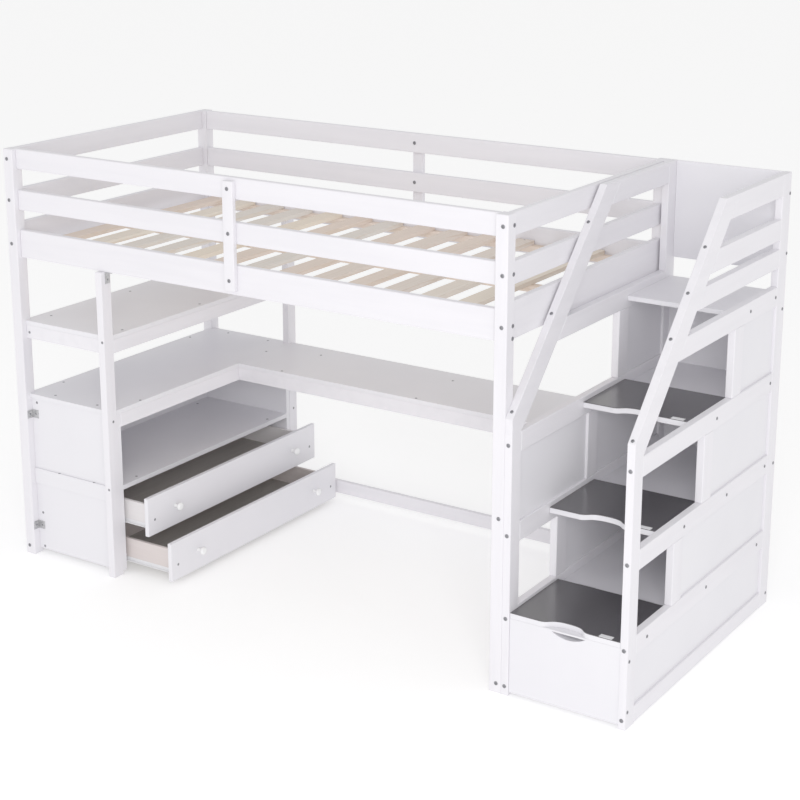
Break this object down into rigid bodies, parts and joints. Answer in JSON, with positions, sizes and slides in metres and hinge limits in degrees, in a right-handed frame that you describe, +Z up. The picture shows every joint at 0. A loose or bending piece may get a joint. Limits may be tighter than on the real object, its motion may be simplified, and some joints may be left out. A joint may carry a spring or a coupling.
{
  "type": "loft bed with desk",
  "caption": "Loft bed with slatted deck and guard rails over an L-shaped desk, shelf and drawer cabinet, with a storage staircase at one end.",
  "frame": {"origin": "middle of the footprint on the floor, bounding-box centre in X and Y, floor at Z 0", "axes": "+X along the bed towards the staircase, +Y from the open front side to the rear, +Z up"},
  "size_m": [2.423, 1.083, 1.49],
  "materials": {
    "white_paint": "satin white paint on solid pine",
    "white_board": "satin white lacquered board",
    "pine": "bare planed pine",
    "tread_finish": "dark grey satin sheet",
    "drawer_wood": "pale grey-brown plywood",
    "knob_white": "glossy white",
    "runner_steel": "white powder-coated steel",
    "galvanised": "galvanised sheet steel",
    "bolt_steel": "dark zinc bolt heads"
  },
  "bodies": {
    "bed_frame": {"post_front_left": "white_paint", "post_front_right": "white_paint", "post_rear_left": "white_paint", "post_rear_right": "white_paint", "side_rail_front": "white_paint", "side_rail_rear": "white_paint", "guard_rails_front": "white_paint", "guard_rails_rear": "white_paint", "baluster_front": "white_paint", "baluster_rear": "white_paint", "end_rails_left": "white_paint", "end_rails_right": "white_paint", "slat_supports": "pine", "bed_slats": "pine", "inner_post_front": "white_paint", "inner_post_rear": "white_paint", "rear_stretcher": "white_paint", "upper_shelf_board": "white_board", "upper_shelf_aprons": "white_paint", "desk_top_left": "white_board", "desk_top_rear": "white_board", "desk_aprons": "white_paint", "cabinet_front_panels": "white_board", "cabinet_side_panels": "white_board", "cabinet_back_panel": "white_board", "cabinet_shelf": "white_board", "cabinet_runners": "runner_steel", "stair_outer_stiles": "white_paint", "stair_outer_rails": "white_paint", "stair_outer_panels": "white_board", "stair_outer_handrail": "white_paint", "stair_guard_rails": "white_paint", "stair_inner_stiles": "white_paint", "stair_inner_rails": "white_paint", "stair_inner_panels": "white_board", "stair_inner_handrail": "white_paint", "stair_rear_panels": "white_board", "stair_box_front": "white_board", "stair_box_panels": "white_board", "stair_floors": "white_board", "landing_board": "white_board", "tread_middle": "white_board", "tread_upper": "white_board", "tread_mats": "tread_finish", "hinge_leaves_fixed": "galvanised", "corner_brackets": "galvanised", "frame_bolts": "bolt_steel"},
    "storage_lid": {"lid_board": "white_board", "lid_mat": "tread_finish", "hinge_leaves_lid": "galvanised"},
    "upper_drawer": {"upper_drawer_front": "white_board", "upper_drawer_walls": "drawer_wood", "upper_drawer_bottom": "drawer_wood", "upper_drawer_knobs": "knob_white", "upper_drawer_runners": "runner_steel"},
    "lower_drawer": {"lower_drawer_front": "white_board", "lower_drawer_walls": "drawer_wood", "lower_drawer_bottom": "drawer_wood", "lower_drawer_knobs": "knob_white", "lower_drawer_runners": "runner_steel"}
  },
  "joints": [
    {"name": "lid_hinge", "type": "hinge", "parent": "bed_frame", "child": "storage_lid", "pos_m": [1, -0.23, 0.258], "axis": [-1, 0, 0], "range_deg": [0, 68]},
    {"name": "upper_drawer_slide", "type": "slide", "parent": "bed_frame", "child": "upper_drawer", "axis": [1, 0, 0], "range_m": [-0.105, 0.195]},
    {"name": "lower_drawer_slide", "type": "slide", "parent": "bed_frame", "child": "lower_drawer", "axis": [1, 0, 0], "range_m": [-0.205, 0.095]}
  ]
}
